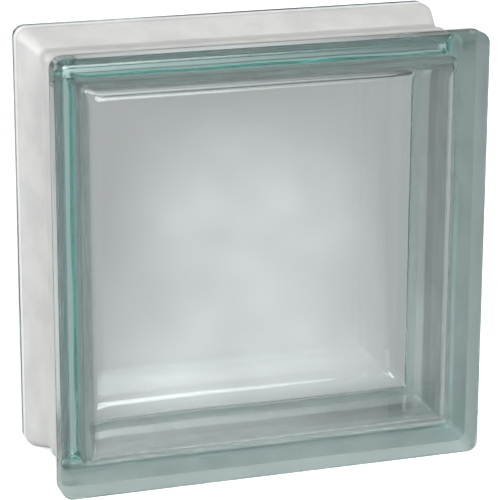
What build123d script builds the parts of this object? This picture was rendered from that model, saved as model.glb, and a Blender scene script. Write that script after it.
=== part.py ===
from build123d import *
import os
from math import atan, cos, degrees, radians, tan

os.makedirs("parts", exist_ok=True)

# Hollow glass building block, in millimetres
# Two pressed glass half-shells are fused face to face around a sealed air space. A white
# coating is baked into the mortar channel that runs round the edge, and the flange round
# each face is left as bare glass.
# X runs across the block, Y through it with the viewing face at -Y, and Z up. The origin
# is under the middle of the block, on the plane that it stands on.

# Overall size
block_width = 190.0
block_height = 190.0
block_depth = 80.0

# Flange round each face
flange_width = 11.0
flange_corner_radius = 5.0
face_edge_radius = 3.8
shoulder_radius = 18.0

# Mortar channel between the two flanges
channel_depth = 5.7
ramp_run = 19.5
channel_corner_radius = 3.0
channel_foot_radius = 5.0

# Bead of glass pressed out where the two halves are fused
bead_height = 0.5
bead_half_width = 1.5

# Sealed air space
pane_thickness = 9.0
seam_wall_thickness = 5.0
cavity_draft = 1.5
cavity_corner_radius = 3.0
cove_radius = 9.0

# White coating in the channel
coating_thickness = 0.4
bare_flange_width = 10.5

# How far a cut runs on past the glass that it takes
overrun = 5.0

# Places that follow from the sizes above
half_depth = block_depth / 2
middle_height = block_height / 2
shoulder_height = half_depth - flange_width
foot_height = shoulder_height - ramp_run
ramp_turn = atan(channel_depth / ramp_run)
bead_taper = degrees(atan(bead_height / bead_half_width))
cavity_reach = half_depth - pane_thickness
cavity_inset = channel_depth + seam_wall_thickness
cavity_width = block_width - 2 * cavity_inset
cavity_height = block_height - 2 * cavity_inset
cove_level = cavity_reach - cove_radius
cove_inset = cove_level * tan(radians(cavity_draft)) + cove_radius / cos(radians(cavity_draft))
coating_reach = half_depth - bare_flange_width

# The seam plane faces the viewing side, so heights over it run towards the front face
seam = Plane(origin=(0, 0, middle_height), x_dir=(1, 0, 0), z_dir=(0, -1, 0))
on_level = coating_thickness / 10

# Sections through the middle of the front half, level and upright, with the seam as their base
level_section = Plane(origin=(0, 0, middle_height), x_dir=(-1, 0, 0), z_dir=(0, 0, 1))
upright_section = Plane(origin=(0, 0, middle_height), x_dir=(0, 0, 1), z_dir=(1, 0, 0))


def edges_at(form, height):
    """Give the edges of a form that lie level at a height over the seam plane."""
    return form.edges().filter_by(
        lambda edge: edge.bounding_box().size.Y < on_level and abs(edge.center().Y + height) < on_level
    )


def pressed_form(skin):
    """Make the outer form of the front half, with every outside face grown by a skin."""
    shift = skin * tan(ramp_turn / 2)
    foot = foot_height - shift
    shoulder = shoulder_height - shift
    channel_width = block_width - 2 * channel_depth + 2 * skin
    channel_height = block_height - 2 * channel_depth + 2 * skin
    channel_radius = channel_corner_radius + skin
    flange_radius = flange_corner_radius + skin
    with BuildPart() as form:
        with BuildSketch(seam):
            RectangleRounded(channel_width, channel_height, channel_radius)
        extrude(amount=foot)
        with BuildSketch(seam.offset(foot)):
            RectangleRounded(channel_width, channel_height, channel_radius)
        with BuildSketch(seam.offset(shoulder)):
            RectangleRounded(block_width + 2 * skin, block_height + 2 * skin, flange_radius)
        loft(ruled=True)
        with BuildSketch(seam.offset(shoulder)):
            RectangleRounded(block_width + 2 * skin, block_height + 2 * skin, flange_radius)
        extrude(amount=half_depth + skin - shoulder)
        fillet(edges_at(form, shoulder), shoulder_radius + skin)
        fillet(edges_at(form, foot), channel_foot_radius - skin)
        fillet(edges_at(form, half_depth + skin), face_edge_radius + skin)
        with BuildSketch(seam):
            RectangleRounded(
                channel_width + 2 * bead_height,
                channel_height + 2 * bead_height,
                channel_radius + bead_height,
            )
        extrude(amount=bead_half_width, taper=bead_taper)
    return form.part


# Air space of the front half: a drafted well with its corners rounded, less the glass of the
# coves that turn its walls into the pane, which run both ways and meet in mitres
with BuildPart() as air_space:
    with BuildSketch(seam):
        RectangleRounded(cavity_width, cavity_height, cavity_corner_radius)
    extrude(amount=cavity_reach, taper=cavity_draft)
    for section, breadth, run in (
        (level_section, cavity_width, cavity_height),
        (upright_section, cavity_height, cavity_width),
    ):
        middle = breadth / 2 - cove_inset
        outside = breadth / 2 + overrun
        above = cavity_reach + overrun
        with BuildSketch(section):
            with BuildLine():
                cove = CenterArc((middle, cove_level), cove_radius, cavity_draft, 90 - cavity_draft)
                Polyline(
                    cove @ 1,
                    (middle, above),
                    (outside, above),
                    (outside, (cove @ 0).Y),
                    cove @ 0,
                )
            make_face()
            mirror(about=Plane.YZ)
        extrude(amount=run / 2, both=True, mode=Mode.SUBTRACT)

# Front half-shell, with its side of the air space pressed into it
glass_form = pressed_form(0)
with BuildPart() as front_shell:
    add(glass_form)
    add(air_space.part, mode=Mode.SUBTRACT)
front_shell.part.label = "front_shell"
export_step(front_shell.part, "parts/front_shell.step")

# Back half-shell, pressed in the same mould and turned to face it
with BuildPart() as back_shell:
    mirror(front_shell.part, about=Plane.XZ)
back_shell.part.label = "back_shell"
export_step(back_shell.part, "parts/back_shell.step")

# White coating, which lines the channel and laps onto both flanges
coated_form = pressed_form(coating_thickness)
with BuildPart() as edge_coating:
    add(coated_form)
    mirror(about=Plane.XZ)
    with BuildSketch(seam):
        RectangleRounded(block_width, block_height, flange_corner_radius)
    extrude(amount=coating_reach, both=True, mode=Mode.INTERSECT)
    add(glass_form, mode=Mode.SUBTRACT)
    mirror(glass_form, about=Plane.XZ, mode=Mode.SUBTRACT)
edge_coating.part.label = "edge_coating"
export_step(edge_coating.part, "parts/edge_coating.step")
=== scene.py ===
import logging
import math
from dataclasses import dataclass
from enum import Enum
from typing import Iterable

import bmesh
import bpy
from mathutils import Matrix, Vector, noise


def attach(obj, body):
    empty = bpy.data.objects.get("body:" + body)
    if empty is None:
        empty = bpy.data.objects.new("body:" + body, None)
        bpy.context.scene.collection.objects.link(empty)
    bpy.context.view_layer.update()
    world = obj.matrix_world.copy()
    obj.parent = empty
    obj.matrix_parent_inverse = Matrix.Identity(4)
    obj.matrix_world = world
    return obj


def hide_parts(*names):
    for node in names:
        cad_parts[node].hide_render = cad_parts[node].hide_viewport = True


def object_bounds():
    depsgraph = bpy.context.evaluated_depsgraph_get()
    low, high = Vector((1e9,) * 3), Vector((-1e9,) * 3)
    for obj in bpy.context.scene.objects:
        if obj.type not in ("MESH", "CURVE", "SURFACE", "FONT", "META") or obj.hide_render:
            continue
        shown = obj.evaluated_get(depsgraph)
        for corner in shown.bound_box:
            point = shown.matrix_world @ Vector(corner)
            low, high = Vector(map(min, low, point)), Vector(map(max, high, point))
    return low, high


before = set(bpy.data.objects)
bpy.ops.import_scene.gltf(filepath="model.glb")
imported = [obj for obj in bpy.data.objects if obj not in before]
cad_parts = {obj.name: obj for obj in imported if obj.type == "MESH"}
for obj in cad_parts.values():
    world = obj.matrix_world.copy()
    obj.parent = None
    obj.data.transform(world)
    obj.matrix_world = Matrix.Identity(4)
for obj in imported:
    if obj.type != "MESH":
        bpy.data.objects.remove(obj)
cad_box = [list(corner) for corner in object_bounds()]

log = logging.getLogger("glass_block")

MM = 0.001
HAIR = 0.01 * MM
PHOTO_SIDE = 500.0
SENSOR_WIDTH = 36.0
CAMERA_REACH = 100.0
VIEW_AZIMUTH = math.radians(-18.31)
WALL_SHARES = (0.0, 0.3, 0.6, 0.85)
BLACK = (0.0, 0.0, 0.0)
WHITE = (1.0, 1.0, 1.0)

Colour = tuple[float, float, float]
Point = tuple[float, float]


class GlassSlot(Enum):
    """Material slots of the glass."""

    BARE = 0
    FUSED = 1
    PATCHY = 2


class Tap:
    """One output of a shader node, on which arithmetic adds Math nodes."""

    def __init__(self, graph: "Graph", socket: bpy.types.NodeSocket) -> None:
        """Keep the graph and the socket.

        Args:
            graph: The graph that the socket belongs to.
            socket: The output socket.
        """
        self.graph = graph
        self.socket = socket

    def __add__(self, other: "Tap | float") -> "Tap":
        """Add."""
        return self.graph.maths("ADD", self, other)

    def __radd__(self, other: float) -> "Tap":
        """Add to a number."""
        return self.graph.maths("ADD", other, self)

    def __sub__(self, other: "Tap | float") -> "Tap":
        """Subtract."""
        return self.graph.maths("SUBTRACT", self, other)

    def __rsub__(self, other: float) -> "Tap":
        """Subtract from a number."""
        return self.graph.maths("SUBTRACT", other, self)

    def __mul__(self, other: "Tap | float") -> "Tap":
        """Multiply."""
        return self.graph.maths("MULTIPLY", self, other)

    def __rmul__(self, other: float) -> "Tap":
        """Multiply a number."""
        return self.graph.maths("MULTIPLY", other, self)


class Graph:
    """The node tree of one material or world."""

    def __init__(self, tree: bpy.types.NodeTree) -> None:
        """Empty the tree.

        Args:
            tree: The node tree to fill.
        """
        self.tree = tree
        self.tree.nodes.clear()

    def feed(self, socket: bpy.types.NodeSocket, value: "Tap | float | Iterable[float]") -> None:
        """Link an output to a socket, or set the socket's own value.

        Args:
            socket: The input socket.
            value: An output, a number, a colour or a vector.
        """
        if isinstance(value, Tap):
            self.tree.links.new(value.socket, socket)
        elif isinstance(value, tuple) and socket.type == "RGBA":
            socket.default_value = (*value, 1.0)
        else:
            socket.default_value = value

    def node(self, kind: str, settings: dict, inputs: dict, output: "int | str" = 0) -> Tap:
        """Add a node.

        Args:
            kind: The node's type name.
            settings: Its settings, set first.
            inputs: Values or outputs, by the name or number of the input.
            output: The name or number of the output to give back.

        Returns:
            The chosen output.
        """
        made = self.tree.nodes.new(kind)
        for name, value in settings.items():
            setattr(made, name, value)
        for name, value in inputs.items():
            self.feed(made.inputs[name], value)
        return Tap(self, made.outputs[output])

    def maths(self, operation: str, first: "Tap | float", second: "Tap | float") -> Tap:
        """Add a Math node.

        Args:
            operation: Its operation.
            first: The first value.
            second: The second value.

        Returns:
            The result.
        """
        return self.node("ShaderNodeMath", {"operation": operation}, {0: first, 1: second})

    def dot(self, vector: Tap, way: Iterable[float]) -> Tap:
        """Measure a vector along a direction.

        Args:
            vector: The vector.
            way: The direction, of length 1.

        Returns:
            Its length that way.
        """
        settings = {"operation": "DOT_PRODUCT"}
        return self.node("ShaderNodeVectorMath", settings, {0: vector, 1: way}, "Value")

    def between(self, value: Tap, low: float, high: float) -> Tap:
        """Turn a value into a smooth share of the way between two levels.

        Args:
            value: The value.
            low: The level that gives 0.
            high: The level that gives 1.

        Returns:
            The share, from 0 to 1.
        """
        return self.node(
            "ShaderNodeMapRange",
            {"interpolation_type": "SMOOTHSTEP"},
            {"Value": value, "From Min": low, "From Max": high},
        )

    def blend(self, factor: "Tap | float", low: "Tap | Colour", high: "Tap | Colour") -> Tap:
        """Mix two colours.

        Args:
            factor: 0 gives low, and 1 gives high.
            low: The first colour.
            high: The second colour.

        Returns:
            The mixed colour.
        """
        return self.node(
            "ShaderNodeMix", {"data_type": "RGBA"}, {"Factor": factor, 6: low, 7: high}, 2
        )

    def cloud(self, scale: float, detail: float, point: "Tap | None" = None) -> Tap:
        """Add a noise texture.

        Args:
            scale: How many cells fit in a metre.
            detail: How many octaves it has.
            point: The points that it lies over, which are the object's own if none are given.

        Returns:
            Its value, near a half.
        """
        point = point or self.node("ShaderNodeTexCoord", {}, {}, "Object")
        return self.node(
            "ShaderNodeTexNoise", {}, {"Vector": point, "Scale": scale, "Detail": detail}
        )

    def bump(self, height: Tap, distance: float) -> Tap:
        """Turn a height into a normal.

        Args:
            height: The height, from 0 to 1.
            distance: What a height of 1 measures, in metres.

        Returns:
            The normal.
        """
        return self.node("ShaderNodeBump", {}, {"Distance": distance, "Height": height})

    def close(self, kind: str, **shaders: Tap) -> None:
        """Add the output node.

        Args:
            kind: The output node's type name.
            shaders: What feeds each of its sockets, by the socket's name.
        """
        out = self.tree.nodes.new(kind)
        for name, shader in shaders.items():
            self.feed(out.inputs[name], shader)


def new_material(name: str) -> tuple[bpy.types.Material, Graph]:
    """Make an empty material.

    Args:
        name: Its name.

    Returns:
        The material and its graph.
    """
    material = bpy.data.materials.new(name)
    material.use_nodes = True
    return material, Graph(material.node_tree)


@dataclass(frozen=True)
class ClearGlass:
    """Pressed soda-lime glass, clear through a pane and green through its edges."""

    name: str = "pressed_glass"
    ior: float = 1.52
    roughness: float = 0.0
    tint: Colour = (0.56, 0.93, 0.89)
    density: float = 10.0
    ripple_scale: float = 26.0
    ripple_detail: float = 1.0
    ripple_depth: float = 0.05 * MM

    def material(self) -> bpy.types.Material:
        """Build the glass, with its tint as an absorption through its depth.

        Returns:
            The material.
        """
        material, graph = new_material(self.name)
        ripples = graph.cloud(self.ripple_scale, self.ripple_detail)
        surface = graph.node(
            "ShaderNodeBsdfPrincipled",
            {},
            {
                "Base Color": WHITE,
                "Roughness": self.roughness,
                "IOR": self.ior,
                "Transmission Weight": 1.0,
                "Normal": graph.bump(ripples, self.ripple_depth),
            },
        )
        depth = graph.node(
            "ShaderNodeVolumeAbsorption", {}, {"Color": self.tint, "Density": self.density}
        )
        graph.close("ShaderNodeOutputMaterial", Surface=surface, Volume=depth)
        return material


@dataclass(frozen=True)
class WhiteCoating:
    """White coating fired onto the glass, satin, with a faint unevenness."""

    name: str
    thin: Colour
    thick: Colour
    roughness: float = 0.42
    roughness_spread: float = 0.1
    shine: float = 0.5
    clear_share: float = 0.0
    ior: float = 1.52
    patch_scale: float = 60.0
    patch_detail: float = 3.0
    thin_below: float = 0.35
    thick_above: float = 0.65
    grain_scale: float = 900.0
    grain_detail: float = 2.0
    grain_depth: float = 0.02 * MM

    def material(self) -> bpy.types.Material:
        """Build the coating, mottled where it went on thinner.

        Returns:
            The material.
        """
        material, graph = new_material(self.name)
        cloud = graph.cloud(self.patch_scale, self.patch_detail)
        patches = graph.between(cloud, self.thin_below, self.thick_above)
        grain = graph.cloud(self.grain_scale, self.grain_detail)
        surface = graph.node(
            "ShaderNodeBsdfPrincipled",
            {},
            {
                "Base Color": graph.blend(patches, self.thin, self.thick),
                "Roughness": self.roughness + self.roughness_spread * patches,
                "IOR": self.ior,
                "Specular IOR Level": self.shine,
                "Transmission Weight": self.clear_share,
                "Normal": graph.bump(grain, self.grain_depth),
            },
        )
        graph.close("ShaderNodeOutputMaterial", Surface=surface)
        return material


@dataclass(frozen=True)
class PaleFloor:
    """Plain pale floor, lifted to white for the camera, with its shadows kept for the camera; what
    looks at it through the glass sees painted light: a painted pool of light with painted patches
    behind the block, and painted shade under it.
    """

    name: str = "pale_floor"
    colour: Colour = (0.78, 0.79, 0.79)
    lift: float = 0.7
    dim_glow: float = 0.42
    # painted shade under the block, for rays through the glass: the share of glow left in it, its
    # half sizes and its soft edges
    painted_shade_share: float = 0.6
    under_size: tuple[float, float] = (95.0 * MM, 30.0 * MM)
    under_edge: tuple[float, float] = (60.0 * MM, 20.0 * MM)
    painted_pool_glow: float = 0.27
    pool_azimuth: float = VIEW_AZIMUTH
    pool_core: float = 0.02
    pool_edge: float = 0.10
    fade_start: float = 0.35
    fade_end: float = 0.75
    patch_scale: float = 22.0
    patch_detail: float = 1.0
    patch_stretch: float = 0.3
    painted_patch_glow: float = 0.30

    def open_share(self, graph: Graph, point: Tap) -> Tap:
        """Tell how far a point of the floor lies out of the painted shade under the block.

        Args:
            graph: The floor's graph.
            point: The point.

        Returns:
            The share of the open floor's light that it has.
        """
        # painted shade: the floor's glow through the glass is dimmed under and beside the block
        clear = []
        for axis, half, edge in zip("XY", self.under_size, self.under_edge):
            place = graph.node("ShaderNodeSeparateXYZ", {}, {"Vector": point}, axis)
            clear.append(graph.between(graph.maths("ABSOLUTE", place, 0.0), half, half + edge))
        return self.painted_shade_share + (1.0 - self.painted_shade_share) * graph.maths("MAXIMUM", *clear)

    def material(self) -> bpy.types.Material:
        """Build the floor, with a painted pool of light and painted patches behind, and painted
        shade under the block, for what looks at it through glass.

        Returns:
            The material.
        """
        material, graph = new_material(self.name)
        point = graph.node("ShaderNodeTexCoord", {}, {}, "Object")
        turn_cos, turn_sin = math.cos(self.pool_azimuth), math.sin(self.pool_azimuth)
        aside = graph.dot(point, (turn_cos, turn_sin, 0.0))
        away = graph.dot(point, (-turn_sin, turn_cos, 0.0))
        beside = graph.maths("ABSOLUTE", aside, 0.0)
        # painted pool of light on the floor behind the block, along the camera's line of sight,
        # seen only through the glass
        pool = (1.0 - graph.between(beside, self.pool_core, self.pool_edge)) * (
            1.0 - graph.between(away, self.fade_start, self.fade_end)
        )
        drawn_out = graph.node(
            "ShaderNodeCombineXYZ", {}, {"X": aside, "Y": self.patch_stretch * away}
        )
        cloud = graph.cloud(self.patch_scale, self.patch_detail, drawn_out)
        # painted patches of brighter and darker light within the pool
        patches = self.painted_patch_glow * (cloud - 0.5)
        # the floor's light for rays through the glass is painted: an even glow plus the painted
        # pool, dimmed by the painted shade under the block
        glow = self.open_share(graph, point) * (self.dim_glow + pool * (patches + self.painted_pool_glow))
        seen = graph.node("ShaderNodeLightPath", {}, {}, "Is Camera Ray")
        through = graph.node("ShaderNodeLightPath", {}, {}, "Is Transmission Ray")
        surface = graph.node(
            "ShaderNodeBsdfPrincipled",
            {},
            {
                "Base Color": graph.blend(through, self.colour, BLACK),
                "Roughness": 1.0,
                "Specular IOR Level": 0.0,
                "Emission Color": WHITE,
                "Emission Strength": self.lift * seen + through * glow,
            },
        )
        graph.close("ShaderNodeOutputMaterial", Surface=surface)
        return material


class Half(Enum):
    """One of the two pressed halves, by the side of the seam that it lies on."""

    FRONT = -1
    BACK = 1


@dataclass(frozen=True)
class Ring:
    """A rounded square round the block, level with its faces."""

    depth: float
    inset: float
    radius: float


@dataclass(frozen=True)
class BlockProfile:
    """Section of the block's edge, with its depths taken from the seam."""

    half_width: float = (cad_box[1][0] - cad_box[0][0]) / 2
    half_depth: float = (cad_box[1][1] - cad_box[0][1]) / 2
    flange_width: float = 11.0 * MM
    flange_corner_radius: float = 5.0 * MM
    face_edge_radius: float = 3.8 * MM
    shoulder_radius: float = 18.0 * MM
    ramp_run: float = 19.5 * MM
    channel_depth: float = 5.7 * MM
    channel_corner_radius: float = 3.0 * MM
    channel_foot_radius: float = 5.0 * MM
    bead_height: float = 0.5 * MM
    bead_half_width: float = 1.5 * MM
    bare_flange_width: float = 10.5 * MM
    bare_back_width: float = 6.5 * MM
    fused_lap_width: float = 9.0 * MM
    coating_thickness: float = 0.4 * MM
    pane_thickness: float = 9.0 * MM
    seam_wall_thickness: float = 5.0 * MM
    cavity_draft: float = math.radians(1.5)
    cavity_corner_radius: float = 3.0 * MM
    cove_radius: float = 9.0 * MM
    arc_steps: int = 10

    def coated_reach(self) -> float:
        """Give the depth from the seam at which the white coating ends."""
        return self.half_depth - self.bare_flange_width

    def fused_start(self) -> float:
        """Give the depth from the seam past which the coating is fused to the glass."""
        return self.coated_reach() - self.fused_lap_width

    def white_reach(self, half: Half) -> float:
        """Give the depth to which the glass is white, counting the thin spray on the back."""
        bare = self.bare_flange_width if half is Half.FRONT else self.bare_back_width
        return self.half_depth - bare

    def slot(self, depth: float, half: Half) -> GlassSlot:
        """Tell what lies on the outside of the glass just before a depth from the seam.

        Args:
            depth: The depth.
            half: The half of the block.

        Returns:
            The material slot there.
        """
        if depth > self.white_reach(half) + HAIR:
            return GlassSlot.BARE
        return GlassSlot.FUSED if depth > self.fused_start() + HAIR else GlassSlot.PATCHY

    def plan_radius(self, depth: float, inset: float) -> float:
        """Give the corner radius of the outside at a place on the profile.

        Args:
            depth: The place's depth from the seam.
            inset: Its inset from the flange plane.

        Returns:
            The radius of the rounded square there.
        """
        if depth > self.half_depth - self.face_edge_radius:
            return self.flange_corner_radius - inset
        share = min(inset / self.channel_depth, 1.0)
        change = self.channel_corner_radius - self.flange_corner_radius
        return self.flange_corner_radius + share * change

    def outer(self) -> list[Ring]:
        """List the outside of one half, from the seam to the flat of the face.

        Returns:
            Its rings, in order of depth.
        """
        shoulder = (self.half_depth - self.flange_width, 0.0)
        foot = (shoulder[0] - self.ramp_run, self.channel_depth)
        rim = (self.half_depth, 0.0)
        face_middle = (self.half_depth, self.half_width)
        bead_top = (0.0, self.channel_depth - self.bead_height)
        line = [bead_top, (self.bead_half_width, self.channel_depth)]
        line += round_corner(line[-1], foot, shoulder, self.channel_foot_radius, self.arc_steps)
        line += round_corner(foot, shoulder, rim, self.shoulder_radius, self.arc_steps)
        line += round_corner(shoulder, rim, face_middle, self.face_edge_radius, self.arc_steps)
        for depth in (self.fused_start(), self.coated_reach(), self.white_reach(Half.BACK)):
            line = with_depth(line, depth)
        return [Ring(depth, inset, self.plan_radius(depth, inset)) for depth, inset in line]

    def inner(self) -> list[Ring]:
        """List the wall of the air space of one half, from the seam to the flat of the pane.

        Returns:
            Its rings, in order of depth.
        """
        start = self.channel_depth + self.seam_wall_thickness
        reach = self.half_depth - self.pane_thickness
        corner = (reach, start + reach * math.tan(self.cavity_draft))
        pane_middle = (reach, self.half_width)
        arc = round_corner((0.0, start), corner, pane_middle, self.cove_radius, self.arc_steps)
        wall = [(share * arc[0][0], start + share * (arc[0][1] - start)) for share in WALL_SHARES]
        return [Ring(depth, inset, self.cavity_corner_radius) for depth, inset in wall + arc]

    def coat(self) -> list[Ring]:
        """List the outside of the coating of one half, from the seam to its lap on the flange.

        Returns:
            Its rings, in order from the seam.
        """
        glass = [ring for ring in self.outer() if ring.depth <= self.coated_reach() + HAIR]
        rings = []
        for place, ring in enumerate(glass):
            thick = min(self.coating_thickness, ring.inset)
            before, after = glass[max(place - 1, 0)], glass[min(place + 1, len(glass) - 1)]
            run = Vector((after.depth - before.depth, after.inset - before.inset)).normalized()
            depth = max(ring.depth + thick * run.y, 0.0) if place else 0.0
            rings.append(Ring(depth, ring.inset - thick * run.x, ring.radius + thick))
        return rings


def round_corner(
    before: Point, corner: Point, after: Point, radius: float, steps: int
) -> list[Point]:
    """Replace the corner of a line by an arc.

    Args:
        before: A point on the run that comes in.
        corner: The sharp corner.
        after: A point on the run that leaves.
        radius: The arc's radius.
        steps: How many pieces the arc has.

    Returns:
        The points of the arc.
    """
    tip = Vector(corner)
    inward = (Vector(before) - tip).normalized()
    outward = (Vector(after) - tip).normalized()
    opening = inward.angle(outward)
    middle = tip + (inward + outward).normalized() * (radius / math.sin(opening / 2))
    first = tip + inward * (radius / math.tan(opening / 2)) - middle
    turn = math.copysign(math.pi - opening, first.x * outward.y - first.y * outward.x)
    points = []
    for step in range(steps + 1):
        angle = turn * step / steps
        points.append((
            middle.x + first.x * math.cos(angle) - first.y * math.sin(angle),
            middle.y + first.x * math.sin(angle) + first.y * math.cos(angle),
        ))
    return points


def with_depth(line: list[Point], depth: float) -> list[Point]:
    """Add a point to a line where it passes a depth.

    Args:
        line: Points in order of depth.
        depth: The depth to add.

    Returns:
        The line with the point.
    """
    for place, (low, high) in enumerate(zip(line, line[1:]), 1):
        if low[0] < depth < high[0]:
            share = (depth - low[0]) / (high[0] - low[0])
            return line[:place] + [(depth, low[1] + share * (high[1] - low[1]))] + line[place:]
    return line


@dataclass
class PressedForm:
    """What the glass and its coating share: rings of points round the block, joined by faces."""

    profile: BlockProfile
    side_steps: int = 40
    corner_steps: int = 10
    lap_waver: float = 0.35 * MM
    lap_scale: float = 45.0

    def ring(self, mesh: bmesh.types.BMesh, ring: Ring, half: Half, waver: bool = False) -> list:
        """Add the points of a rounded square.

        Args:
            mesh: The mesh to add to.
            ring: The square.
            half: The half of the block that it lies in.
            waver: Whether its depth wavers a little, as the edge of the coating does.

        Returns:
            The points, in order round the square.
        """
        side = self.profile.half_width - ring.inset
        straight = side - ring.radius
        quarter = [
            (side, straight * (2 * step / self.side_steps - 1)) for step in range(self.side_steps)
        ]
        for step in range(self.corner_steps):
            angle = math.pi / 2 * step / self.corner_steps
            quarter.append((
                straight + ring.radius * math.cos(angle), straight + ring.radius * math.sin(angle)
            ))
        points = []
        for x, z in quarter_turns(quarter):
            depth = half.value * ring.depth
            if waver:
                depth += self.lap_waver * noise.noise(Vector((x, depth, z)) * self.lap_scale)
            points.append(mesh.verts.new((x, depth, z + self.profile.half_width)))
        return points

    @staticmethod
    def join(mesh: bmesh.types.BMesh, low: list, high: list, flip: bool, slot: int = 0) -> None:
        """Join two rings of points by faces.

        Args:
            mesh: The mesh to add to.
            low: The ring nearer the seam.
            high: The ring nearer the face.
            flip: Whether the faces are turned over.
            slot: Their material slot.
        """
        corners = zip(low, low[1:] + low[:1], high[1:] + high[:1], high)
        for around in corners:
            face = mesh.faces.new(around[::-1] if flip else around)
            face.material_index = slot
            face.smooth = True

    @staticmethod
    def finish(
        mesh: bmesh.types.BMesh, name: str, *materials: bpy.types.Material
    ) -> bpy.types.Object:
        """Turn a mesh into an object that rides on the block.

        Args:
            mesh: The mesh, which is freed.
            name: The object's name.
            materials: Its materials, in order of slot.

        Returns:
            The object.
        """
        data = bpy.data.meshes.new(name)
        mesh.to_mesh(data)
        mesh.free()
        for material in materials:
            data.materials.append(material)
        piece = bpy.data.objects.new(name, data)
        bpy.context.scene.collection.objects.link(piece)
        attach(piece, "root")
        return piece


def quarter_turns(quarter: list[Point]) -> list[Point]:
    """Repeat a quarter of an outline four times round the middle.

    Args:
        quarter: Its points.

    Returns:
        The points of the whole outline.
    """
    points = []
    for _ in range(4):
        points += quarter
        quarter = [(-z, x) for x, z in quarter]
    return points


@dataclass
class GlassBody(PressedForm):
    """The two pressed half-shells, as the one piece of glass that fusing makes of them."""

    pane_rings: int = 14
    wave_height: float = 0.12 * MM
    wave_scale: float = 30.0

    def shell(
        self, mesh: bmesh.types.BMesh, half: Half, seam: list, rings: list[Ring], inside: bool
    ) -> None:
        """Add the outside or the inside of one half.

        Args:
            mesh: The mesh to add to.
            half: The half.
            seam: The points at the seam.
            rings: The rings from the seam to the flat of the face or pane.
            inside: Whether this is the wall of the air space.
        """
        flip = (half is Half.BACK) != inside
        edges = (self.profile.coated_reach(), self.profile.white_reach(half))
        last = seam
        for ring in rings[1:]:
            lap = not inside and min(abs(ring.depth - edge) for edge in edges) < HAIR
            here = self.ring(mesh, ring, half, waver=lap)
            slot = GlassSlot.BARE if inside else self.profile.slot(ring.depth, half)
            self.join(mesh, last, here, flip, slot.value)
            last = here
        edge = rings[-1]
        side = self.profile.half_width - edge.inset
        for step in range(1, self.pane_rings):
            share = 1 - step / self.pane_rings
            flat = Ring(edge.depth, self.profile.half_width - side * share, edge.radius * share)
            here = self.ring(mesh, flat, half)
            self.join(mesh, last, here, flip)
            last = here
        middle = mesh.faces.new(last[::-1] if flip else last)
        middle.smooth = True

    def ripple(self, mesh: bmesh.types.BMesh, points: list) -> None:
        """Move points along their normals, in the long low waves that pressing leaves.

        Args:
            mesh: The mesh.
            points: The points to move.
        """
        mesh.normal_update()
        shifts = [
            point.normal * self.wave_height * noise.noise(point.co * self.wave_scale)
            for point in points
        ]
        for point, shift in zip(points, shifts):
            point.co += shift

    def build(self, *materials: bpy.types.Material) -> bpy.types.Object:
        """Make the glass and let it stand for the two half-shells.

        Args:
            materials: What its surface shows, in the order of the slots.

        Returns:
            The glass.
        """
        mesh = bmesh.new()
        for inside, rings in ((False, self.profile.outer()), (True, self.profile.inner())):
            first = len(mesh.verts)
            seam = self.ring(mesh, rings[0], Half.FRONT)
            for half in Half:
                self.shell(mesh, half, seam, rings, inside)
            if inside:
                self.ripple(mesh, list(mesh.verts)[first:])
        body = self.finish(mesh, "glass_body", *materials)
        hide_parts("front_shell", "back_shell")
        return body


@dataclass
class EdgeCoating(PressedForm):
    """The white coating in the channel, lapped onto both flanges."""

    def build(self, coating: bpy.types.Material) -> bpy.types.Object:
        """Make the coating and let it stand for the coating's node.

        Args:
            coating: Its finish.

        Returns:
            The coating.
        """
        mesh = bmesh.new()
        rings = self.profile.coat()
        seam = self.ring(mesh, rings[0], Half.FRONT)
        for half in Half:
            last = seam
            for ring in rings[1:]:
                here = self.ring(mesh, ring, half, waver=ring is rings[-1])
                self.join(mesh, last, here, half is Half.BACK)
                last = here
        piece = self.finish(mesh, "edge_coat", coating)
        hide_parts("edge_coating")
        return piece


def way_to(azimuth: float, elevation: float) -> Vector:
    """Give the direction that lies some way round from the block's front and up.

    Args:
        azimuth: The turn from the front towards +X, in radians.
        elevation: The rise over the floor, in radians.

    Returns:
        The direction, of length 1.
    """
    level = math.cos(elevation)
    return Vector((math.sin(azimuth) * level, -math.cos(azimuth) * level, math.sin(elevation)))


@dataclass(frozen=True)
class SoftBox:
    """Round patch of soft light in the sky, placed in degrees from the block's front."""

    azimuth: float
    elevation: float
    core: float
    edge: float
    level: float

    def glow(self, graph: Graph, way: Tap) -> Tap:
        """Add its light to a sky.

        Args:
            graph: The sky's graph.
            way: The direction looked in.

        Returns:
            The level of its light that way.
        """
        middle = way_to(math.radians(self.azimuth), math.radians(self.elevation))
        rim, heart = math.cos(math.radians(self.edge)), math.cos(math.radians(self.core))
        return self.level * graph.between(graph.dot(way, middle), rim, heart)


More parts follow.
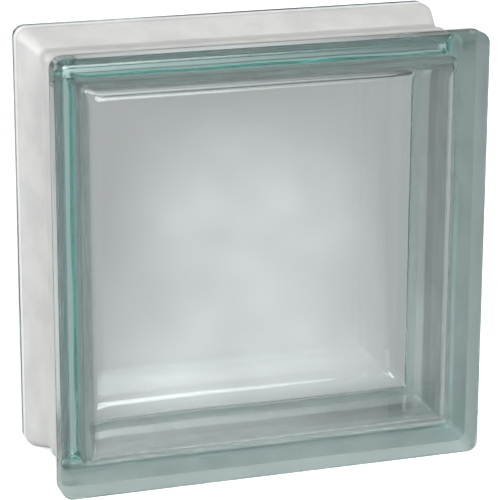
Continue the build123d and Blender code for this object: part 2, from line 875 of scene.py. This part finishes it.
@dataclass
class Studio:
    """Floor, sky of soft light and camera, which looks at a target given in millimetres."""

    target: tuple[float, float, float] = (-12.8, -40.0, 104.11)
    azimuth: float = VIEW_AZIMUTH
    elevation: float = math.radians(16.85)
    roll: float = math.radians(0.19)
    distance: float = 1.0019
    focal_pixels: float = 2392.8
    floor_size: float = 12.0
    glass_bounces: int = 32
    glossy_bounces: int = 16
    diffuse_bounces: int = 8
    dim_sky: float = 0.1
    boxes: tuple[SoftBox, ...] = (
        SoftBox(azimuth=0.0, elevation=25.0, core=8.0, edge=23.0, level=14.0),
        SoftBox(azimuth=-120.0, elevation=10.0, core=16.0, edge=36.0, level=3.3),
        SoftBox(azimuth=180.0, elevation=25.0, core=10.0, edge=30.0, level=0.65),
    )

    def camera(self) -> None:
        """Set the camera at the photograph's angle."""
        back = way_to(self.azimuth, self.elevation)
        data = bpy.data.cameras.new("camera")
        data.sensor_width = SENSOR_WIDTH
        data.lens = SENSOR_WIDTH * self.focal_pixels / PHOTO_SIDE
        data.clip_end = CAMERA_REACH
        eye = bpy.data.objects.new("camera", data)
        eye.location = Vector(self.target) * MM + back * self.distance
        eye.rotation_euler = (-back).to_track_quat("-Z", "Y").to_euler()
        eye.rotation_euler.rotate_axis("Z", self.roll)
        bpy.context.scene.collection.objects.link(eye)
        bpy.context.scene.camera = eye

    def floor(self) -> None:
        """Lay the floor under the block."""
        half = self.floor_size / 2
        corners = [(-half, -half, 0), (half, -half, 0), (half, half, 0), (-half, half, 0)]
        data = bpy.data.meshes.new("floor")
        data.from_pydata(corners, [], [(0, 1, 2, 3)])
        data.materials.append(PaleFloor().material())
        floor = bpy.data.objects.new("floor", data)
        bpy.context.scene.collection.objects.link(floor)

    def sky(self) -> None:
        """Light the room with patches of soft light in a dim sky that the camera sees as white."""
        world = bpy.data.worlds.new("studio")
        world.use_nodes = True
        bpy.context.scene.world = world
        graph = Graph(world.node_tree)
        way = graph.node("ShaderNodeTexCoord", {}, {}, "Generated")
        level = self.dim_sky
        for box in self.boxes:
            level = level + box.glow(graph, way)
        seen = graph.node("ShaderNodeLightPath", {}, {}, "Is Camera Ray")
        level = level + seen * (1.0 - level)
        surface = graph.node("ShaderNodeBackground", {}, {"Color": WHITE, "Strength": level})
        graph.close("ShaderNodeOutputWorld", Surface=surface)

    def view(self) -> None:
        """Set how colours are shown, and how often light may turn in the glass."""
        scene = bpy.context.scene
        scene.view_settings.view_transform = "Standard"
        scene.cycles.max_bounces = self.glass_bounces
        scene.cycles.transmission_bounces = self.glass_bounces
        scene.cycles.glossy_bounces = self.glossy_bounces
        scene.cycles.diffuse_bounces = self.diffuse_bounces


def main() -> None:
    """Build the block and its studio."""
    logging.basicConfig(level=logging.INFO, format="%(name)s: %(message)s")
    glass = ClearGlass().material()
    # One white coating in three copies: the two seen from inside the glass are painted brighter
    # and the outside one is painted darker, standing in for the light and shade on each rather
    # than a different colour.
    fused = WhiteCoating(
        name="coating_fused_painted_brighter", thin=(0.92, 0.93, 0.93), thick=(0.95, 0.96, 0.96), shine=0.0
    )
    patchy = WhiteCoating(
        name="coating_behind_glass_painted_brighter",
        thin=(0.78, 0.79, 0.79),
        thick=(0.87, 0.88, 0.88),
        roughness=0.16,
        clear_share=0.38,
    )
    coating = WhiteCoating(
        name="white_coating", thin=(0.65, 0.655, 0.645), thick=(0.73, 0.735, 0.72)
    )
    profile = BlockProfile()
    body = GlassBody(profile).build(glass, fused.material(), patchy.material())
    log.info("%s: %d faces", body.name, len(body.data.polygons))
    coat = EdgeCoating(profile).build(coating.material())
    log.info("%s: %d faces", coat.name, len(coat.data.polygons))
    studio = Studio()
    studio.floor()
    studio.sky()
    studio.camera()
    studio.view()
    bpy.context.view_layer.update()


if __name__ == "__main__":
    main()
